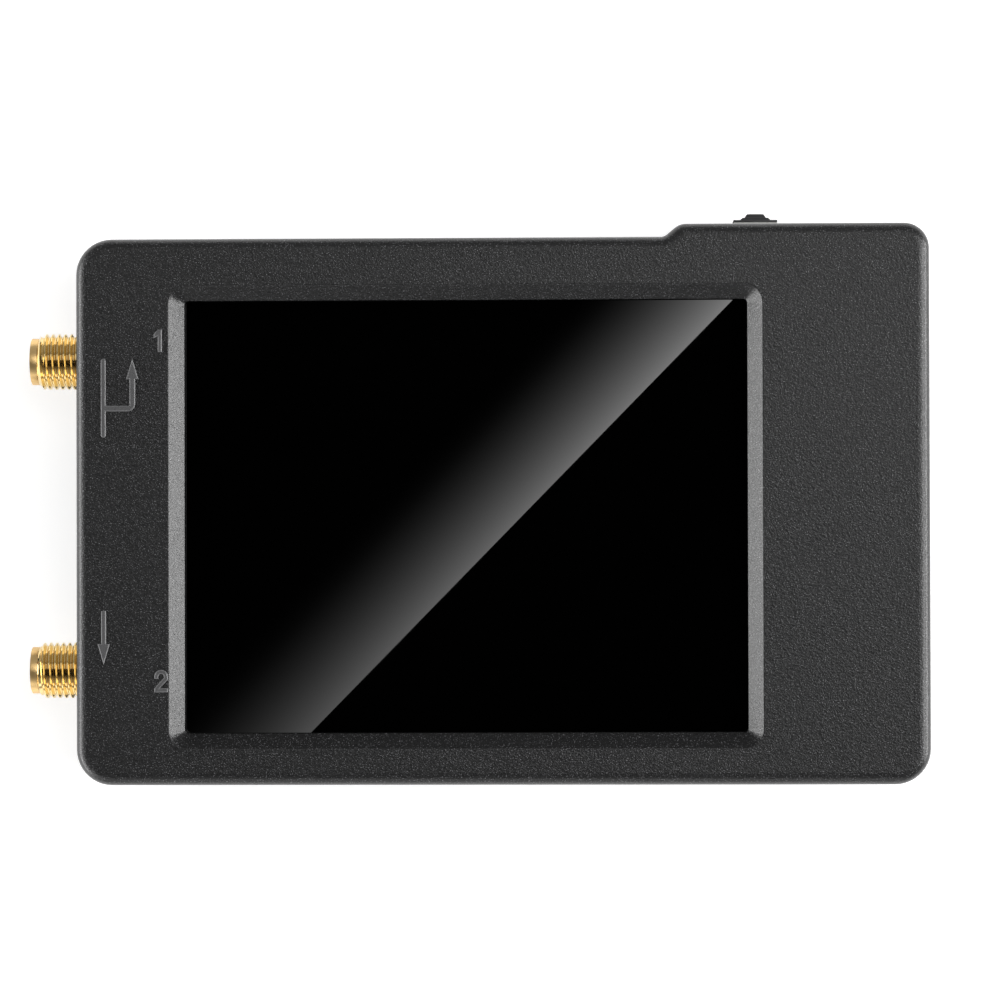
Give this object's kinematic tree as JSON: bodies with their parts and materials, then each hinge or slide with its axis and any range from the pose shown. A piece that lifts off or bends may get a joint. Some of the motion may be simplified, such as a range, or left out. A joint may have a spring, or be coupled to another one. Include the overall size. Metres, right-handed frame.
{
  "type": "antenna analyzer",
  "caption": "Flat pocket antenna analyzer with a recessed touch screen, threaded coaxial ports on one side and a thumb lever on the top edge.",
  "frame": {"origin": "middle of the case's plan rectangle (without the raised strip over the lever), on the flat back face", "axes": "+X along the long side, away from the coaxial ports; +Y towards the lever's edge; +Z out of the screen"},
  "size_m": [0.101, 0.064, 0.0177],
  "materials": {
    "case_plastic": "spark-eroded black ABS",
    "screw_steel": "black oxide screws",
    "foam": "closed-cell black foam",
    "screen_glass": "glossy black panel",
    "lcd_glass": "liquid crystal cell glass",
    "backlight": "white diffuser in a tray",
    "tape": "double-sided foam tape",
    "flex_film": "amber polyimide film",
    "board": "solder-masked glass epoxy",
    "gold_plate": "gold plated turned brass",
    "ptfe": "white PTFE",
    "tin_plate": "tin plated sheet",
    "stainless": "drawn stainless sheet",
    "black_nylon": "black glass-filled nylon",
    "natural_pom": "natural acetal",
    "lever_plastic": "black acetal, fine satin",
    "chip_epoxy": "black moulding compound",
    "ferrite": "grey ferrite block",
    "ceramic_part": "fired ceramic",
    "resistor_part": "coated alumina",
    "led_part": "clear epoxy",
    "pouch": "laminated aluminium pouch",
    "tab_board": "protection board under amber film",
    "lead_red": "red PVC insulation",
    "lead_black": "black PVC insulation",
    "connector_nylon": "natural nylon"
  },
  "bodies": {
    "housing": {"front_shell": "case_plastic", "rear_cover": "case_plastic", "case_screws": "screw_steel", "window_gasket": "foam", "touch_panel": "screen_glass", "touch_flex": "flex_film", "lcd_glass": "lcd_glass", "lcd_backlight": "backlight", "lcd_flex": "flex_film", "display_tape": "tape", "main_board": "board", "port_1_body": "gold_plate", "port_1_insulator": "ptfe", "port_1_contact": "gold_plate", "port_2_body": "gold_plate", "port_2_insulator": "ptfe", "port_2_contact": "gold_plate", "shield_frames": "tin_plate", "shield_covers": "tin_plate", "usb_shell": "stainless", "usb_tongue": "black_nylon", "usb_contacts": "gold_plate", "power_switch_frame": "tin_plate", "power_switch_base": "black_nylon", "lever_switch_base": "black_nylon", "lever_switch_cover": "stainless", "click_dome": "stainless", "microcontroller": "chip_epoxy", "clock_generator": "chip_epoxy", "mixer_chips": "chip_epoxy", "audio_codec": "chip_epoxy", "charger_chip": "chip_epoxy", "power_inductor": "ferrite", "reference_oscillator": "tin_plate", "chip_resistors": "resistor_part", "chip_capacitors": "ceramic_part", "status_leds": "led_part", "battery_cell": "pouch", "battery_tape": "tape", "battery_tab_board": "tab_board", "battery_lead_red": "lead_red", "battery_lead_black": "lead_black", "battery_plug": "connector_nylon", "battery_socket": "connector_nylon"},
    "lever_slider": {"lever_carriage": "black_nylon", "lever_pin": "stainless", "lever_spring": "stainless"},
    "thumb_lever": {"lever_stem": "natural_pom", "lever_cap": "lever_plastic"},
    "power_knob": {"power_switch_knob": "lever_plastic"}
  },
  "joints": [
    {"name": "lever_push", "type": "slide", "parent": "housing", "child": "lever_slider", "axis": [0, -1, 0], "range_m": [0, 0.0003], "stiffness_N_per_m": 3000},
    {"name": "lever_rock", "type": "hinge", "parent": "lever_slider", "child": "thumb_lever", "pos_m": [0.0286, 0.02385, 0.0082], "axis": [0, 0, 1], "range_deg": [-8, 8], "stiffness_Nm_per_rad": 0.03},
    {"name": "power_slide", "type": "slide", "parent": "housing", "child": "power_knob", "axis": [0, 1, 0], "range_m": [0, 0.002]}
  ]
}
